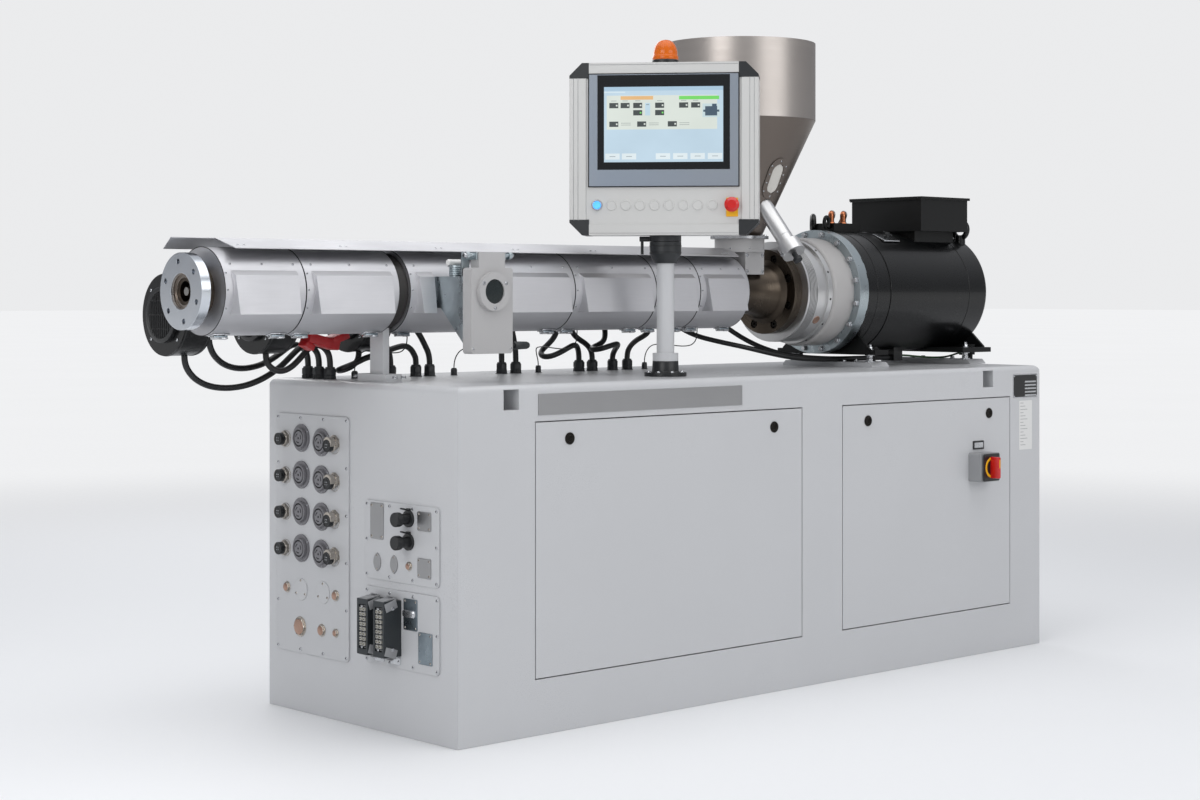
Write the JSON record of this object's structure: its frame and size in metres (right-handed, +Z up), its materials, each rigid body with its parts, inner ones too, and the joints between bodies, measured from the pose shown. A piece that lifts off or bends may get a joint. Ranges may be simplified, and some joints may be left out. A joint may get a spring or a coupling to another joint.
{
  "type": "plastic extruder",
  "caption": "Single-screw plastic extruder on a grey cabinet, with a hopper, clad barrel, motor drive and a swivelling operator panel.",
  "frame": {"origin": "centre of the cabinet's footprint on the floor", "axes": "+X from the die end to the motor end, -Y towards the operator, +Z up"},
  "size_m": [2.9, 0.882, 1.834],
  "materials": {
    "painted_grey": "semi-gloss light grey, fine orange peel",
    "painted_white": "semi-gloss white grey",
    "painted_cream": "satin cream grey",
    "painted_black": "gloss black",
    "box_black": "matt black",
    "shroud_steel": "matt silver sheet",
    "zinc": "bright zinc plate",
    "barrel_steel": "dark burnished, fine turned rings",
    "turned_aluminium": "satin turned",
    "galvanised": "galvanised sheet, bluish",
    "stainless": "satin stainless, brushed round",
    "screw_steel": "ground and polished",
    "plate_grey": "satin grey",
    "socket_grey": "moulded, matt",
    "plastic_black": "moulded, fine grain",
    "panel_grey": "anodised and painted, satin",
    "bezel_grey": "bluish grey, satin",
    "screen_glass": "black backed, gloss",
    "clear_glass": "clear",
    "beacon_orange": "translucent orange",
    "stop_red": "gloss red",
    "button_blue": "lit blue",
    "nickel": "nickel plate",
    "hose_black": "corrugated sleeve, semi-matt",
    "earth_green": "wire insulation"
  },
  "bodies": {
    "machine": {"cabinet": "painted_grey", "front_panels": "painted_grey", "back_panels": "painted_grey", "end_plates": "plate_grey", "heater_sockets": "socket_grey", "signal_sockets": "nickel", "power_connectors": "socket_grey", "barrel": "barrel_steel", "die_flange": "zinc", "heater_shrouds": "shroud_steel", "heat_guard": "shroud_steel", "barrel_support": "painted_grey", "vent_chute": "galvanised", "vent_hinge": "galvanised", "feed_throat": "painted_cream", "feed_disc": "painted_cream", "hopper": "stainless", "discharge_pipe": "turned_aluminium", "feed_flange": "barrel_steel", "bearing_housing": "turned_aluminium", "gear_housing": "painted_white", "motor_flange": "galvanised", "motor_body": "painted_black", "terminal_box": "box_black", "water_manifold": "box_black", "motor_rails": "painted_grey", "motor_feet": "box_black", "panel_post": "painted_grey", "post_coupling": "plastic_black", "switch_box": "socket_grey", "zone_blowers": "painted_black", "cable_glands": "plastic_black", "zone_one_hoses": "hose_black", "zone_two_hoses": "hose_black", "zone_three_hoses": "hose_black", "zone_four_hoses": "hose_black", "zone_five_hoses": "hose_black", "zone_six_hoses": "hose_black", "motor_cables": "hose_black", "water_hoses": "hose_black", "earth_wire": "earth_green", "sensor_wires": "hose_black"},
    "screw": {"screw": "screw_steel"},
    "panel": {"panel_housing": "panel_grey", "panel_corners": "plastic_black", "screen_bezel": "bezel_grey", "screen_glass": "screen_glass", "beacon": "beacon_orange", "swivel_head": "plastic_black"},
    "clamp_lever": {"clamp_lever": "nickel"},
    "emergency_stop": {"emergency_stop": "stop_red"},
    "start_button": {"start_button": "button_blue"},
    "main_switch": {"switch_handle": "stop_red"},
    "vent_cover": {"vent_cover": "painted_cream", "sight_glass": "clear_glass", "vent_handle": "plastic_black"},
    "pull_knob": {"pull_knob": "plastic_black"}
  },
  "joints": [
    {"name": "screw_turn", "type": "hinge", "parent": "machine", "child": "screw", "pos_m": [0, 0, 1.1], "axis": [1, 0, 0], "continuous": true},
    {"name": "panel_turn", "type": "hinge", "parent": "machine", "child": "panel", "pos_m": [-0.315, -0.24, 1.244], "axis": [0, 0, 1], "range_deg": [-120, 150]},
    {"name": "clamp_lever_turn", "type": "hinge", "parent": "panel", "child": "clamp_lever", "pos_m": [-0.35468, -0.19499, 1.243], "axis": [-0.6613, 0.7501, 0], "range_deg": [0, 90]},
    {"name": "emergency_stop_press", "type": "slide", "parent": "panel", "child": "emergency_stop", "axis": [0.7501, 0.6613, 0], "range_m": [0, 0.004]},
    {"name": "start_button_press", "type": "slide", "parent": "panel", "child": "start_button", "axis": [0.7501, 0.6613, 0], "range_m": [0, 0.003], "stiffness_N_per_m": 300},
    {"name": "main_switch_turn", "type": "hinge", "parent": "machine", "child": "main_switch", "pos_m": [0.8555, -0.452, 0.57], "axis": [0, 1, 0], "range_deg": [0, 90]},
    {"name": "vent_cover_swing", "type": "hinge", "parent": "machine", "child": "vent_cover", "pos_m": [-0.936, -0.235, 1.191], "axis": [-1, 0, 0], "range_deg": [0, 100]},
    {"name": "pull_knob_pull", "type": "slide", "parent": "machine", "child": "pull_knob", "axis": [0, -0.6428, -0.766], "range_m": [0, 0.008], "stiffness_N_per_m": 400}
  ]
}
